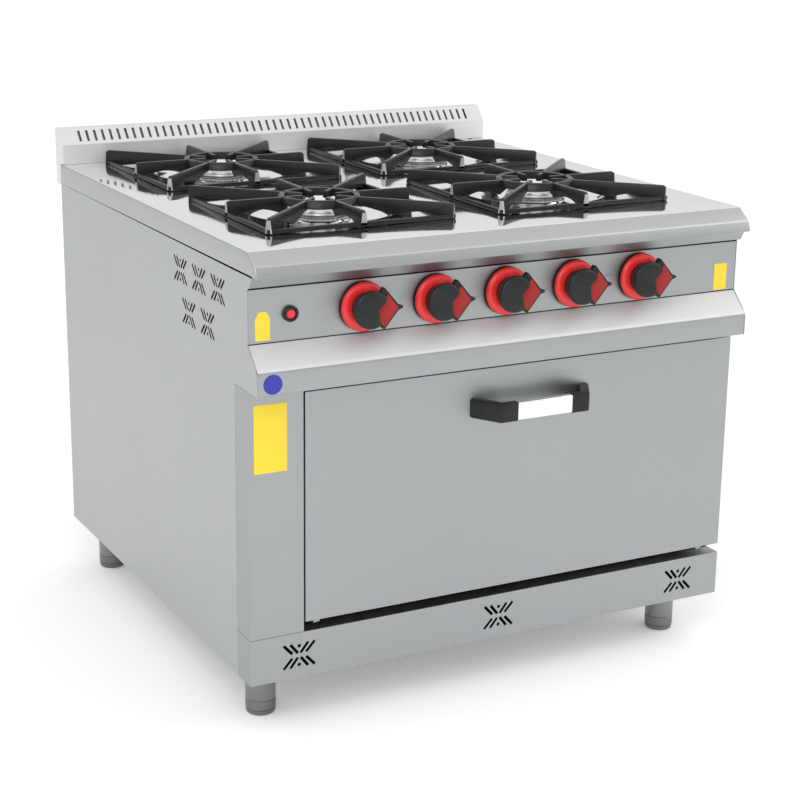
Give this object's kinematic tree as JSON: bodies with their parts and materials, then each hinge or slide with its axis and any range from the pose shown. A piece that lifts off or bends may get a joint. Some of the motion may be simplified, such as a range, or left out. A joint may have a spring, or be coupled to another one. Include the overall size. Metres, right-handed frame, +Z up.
{
  "type": "commercial gas range",
  "caption": "Free-standing commercial gas range: open burners with lift-off pan supports over an oven with a drop-down door.",
  "frame": {"origin": "middle of the bounding box on the floor", "axes": "+Z up, +Y to the back (flue side), +X to the user's right facing the front; the front faces -Y"},
  "size_m": [0.9, 0.95, 0.85],
  "materials": {
    "black_enamel": "vitreous enamel",
    "black_plastic": "heat-resistant, satin",
    "brass": "turned",
    "cast_iron": "black enamelled, fine sand-cast grain",
    "chrome_wire": "chromed wire",
    "light_alloy": "die-cast, machined bright on top",
    "mineral_wool": "pressed wool slab",
    "plain_steel": "mill finish",
    "polished_stainless": "bright, near mirror",
    "red_plastic": "glossy red",
    "seal": "heat-resistant seal",
    "stainless_sheet": "satin, fine horizontal grain"
  },
  "bodies": {
    "range_body": {"side_panel_left": "stainless_sheet", "side_panel_right": "stainless_sheet", "back_panel": "stainless_sheet", "base_pan": "stainless_sheet", "plinth": "stainless_sheet", "stile_left": "stainless_sheet", "stile_right": "stainless_sheet", "worktop": "polished_stainless", "front_channel": "stainless_sheet", "control_panel": "stainless_sheet", "bumper_rail": "stainless_sheet", "flue_riser": "polished_stainless", "flue_duct": "plain_steel", "oven_liner": "black_enamel", "oven_insulation": "mineral_wool", "oven_sole_plate": "cast_iron", "oven_burner": "plain_steel", "oven_rack": "chrome_wire", "door_gasket": "seal", "hinge_brackets": "plain_steel", "knob_bezels": "black_plastic", "gas_manifold": "plain_steel", "gas_valves": "brass", "gas_pipes": "brass", "igniter_body": "black_plastic", "burner_heads": "light_alloy", "burner_caps": "light_alloy", "leg_tubes": "stainless_sheet", "body_screws": "plain_steel"},
    "door": {"door_outer": "stainless_sheet", "door_inner": "black_enamel", "door_insulation": "mineral_wool", "hinge_arms": "plain_steel", "handle_bar": "polished_stainless", "handle_bracket_left": "black_plastic", "handle_bracket_right": "black_plastic"},
    "knob_push_1": {"valve_stem_1": "brass"},
    "knob_turn_1": {"knob_1": "black_plastic", "knob_skirt_1": "red_plastic"},
    "knob_push_2": {"valve_stem_2": "brass"},
    "knob_turn_2": {"knob_2": "black_plastic", "knob_skirt_2": "red_plastic"},
    "knob_push_3": {"valve_stem_3": "brass"},
    "knob_turn_3": {"knob_3": "black_plastic", "knob_skirt_3": "red_plastic"},
    "knob_push_4": {"valve_stem_4": "brass"},
    "knob_turn_4": {"knob_4": "black_plastic", "knob_skirt_4": "red_plastic"},
    "knob_push_5": {"valve_stem_5": "brass"},
    "knob_turn_5": {"knob_5": "black_plastic", "knob_skirt_5": "red_plastic"},
    "igniter_push": {"igniter_button": "red_plastic"},
    "support_front_left": {"pan_support_front_left": "cast_iron"},
    "levelling_front_left": {"foot_front_left": "stainless_sheet"},
    "support_front_right": {"pan_support_front_right": "cast_iron"},
    "levelling_front_right": {"foot_front_right": "stainless_sheet"},
    "support_rear_left": {"pan_support_rear_left": "cast_iron"},
    "levelling_rear_left": {"foot_rear_left": "stainless_sheet"},
    "support_rear_right": {"pan_support_rear_right": "cast_iron"},
    "levelling_rear_right": {"foot_rear_right": "stainless_sheet"}
  },
  "joints": [
    {"name": "oven_door_hinge", "type": "hinge", "parent": "range_body", "child": "door", "pos_m": [0.0475, -0.417, 0.18], "axis": [1, 0, 0], "range_deg": [0, 90]},
    {"name": "knob_1_push", "type": "slide", "parent": "range_body", "child": "knob_push_1", "axis": [0, 1, 0], "range_m": [0, 0.003], "stiffness_N_per_m": 1500, "springref_m": -0.002},
    {"name": "knob_1_turn", "type": "hinge", "parent": "knob_push_1", "child": "knob_turn_1", "pos_m": [-0.2595, -0.445, 0.6855], "axis": [0, -1, 0], "range_deg": [0, 270]},
    {"name": "knob_2_push", "type": "slide", "parent": "range_body", "child": "knob_push_2", "axis": [0, 1, 0], "range_m": [0, 0.003], "stiffness_N_per_m": 1500, "springref_m": -0.002},
    {"name": "knob_2_turn", "type": "hinge", "parent": "knob_push_2", "child": "knob_turn_2", "pos_m": [-0.1325, -0.445, 0.6855], "axis": [0, -1, 0], "range_deg": [0, 180]},
    {"name": "knob_3_push", "type": "slide", "parent": "range_body", "child": "knob_push_3", "axis": [0, 1, 0], "range_m": [0, 0.003], "stiffness_N_per_m": 1500, "springref_m": -0.002},
    {"name": "knob_3_turn", "type": "hinge", "parent": "knob_push_3", "child": "knob_turn_3", "pos_m": [-0.0055, -0.445, 0.6855], "axis": [0, -1, 0], "range_deg": [0, 180]},
    {"name": "knob_4_push", "type": "slide", "parent": "range_body", "child": "knob_push_4", "axis": [0, 1, 0], "range_m": [0, 0.003], "stiffness_N_per_m": 1500, "springref_m": -0.002},
    {"name": "knob_4_turn", "type": "hinge", "parent": "knob_push_4", "child": "knob_turn_4", "pos_m": [0.1215, -0.445, 0.6855], "axis": [0, -1, 0], "range_deg": [0, 180]},
    {"name": "knob_5_push", "type": "slide", "parent": "range_body", "child": "knob_push_5", "axis": [0, 1, 0], "range_m": [0, 0.003], "stiffness_N_per_m": 1500, "springref_m": -0.002},
    {"name": "knob_5_turn", "type": "hinge", "parent": "knob_push_5", "child": "knob_turn_5", "pos_m": [0.2485, -0.445, 0.6855], "axis": [0, -1, 0], "range_deg": [0, 180]},
    {"name": "igniter_button_push", "type": "slide", "parent": "range_body", "child": "igniter_push", "axis": [0, 1, 0], "range_m": [0, 0.005], "stiffness_N_per_m": 900, "springref_m": -0.002},
    {"name": "pan_support_front_left_lift", "type": "slide", "parent": "range_body", "child": "support_front_left", "axis": [0, 0, 1], "range_m": [0, 0.05]},
    {"name": "foot_front_left_screw", "type": "slide", "parent": "range_body", "child": "levelling_front_left", "axis": [0, 0, -1], "range_m": [0, 0.025]},
    {"name": "pan_support_front_right_lift", "type": "slide", "parent": "range_body", "child": "support_front_right", "axis": [0, 0, 1], "range_m": [0, 0.05]},
    {"name": "foot_front_right_screw", "type": "slide", "parent": "range_body", "child": "levelling_front_right", "axis": [0, 0, -1], "range_m": [0, 0.025]},
    {"name": "pan_support_rear_left_lift", "type": "slide", "parent": "range_body", "child": "support_rear_left", "axis": [0, 0, 1], "range_m": [0, 0.05]},
    {"name": "foot_rear_left_screw", "type": "slide", "parent": "range_body", "child": "levelling_rear_left", "axis": [0, 0, -1], "range_m": [0, 0.025]},
    {"name": "pan_support_rear_right_lift", "type": "slide", "parent": "range_body", "child": "support_rear_right", "axis": [0, 0, 1], "range_m": [0, 0.05]},
    {"name": "foot_rear_right_screw", "type": "slide", "parent": "range_body", "child": "levelling_rear_right", "axis": [0, 0, -1], "range_m": [0, 0.025]}
  ]
}
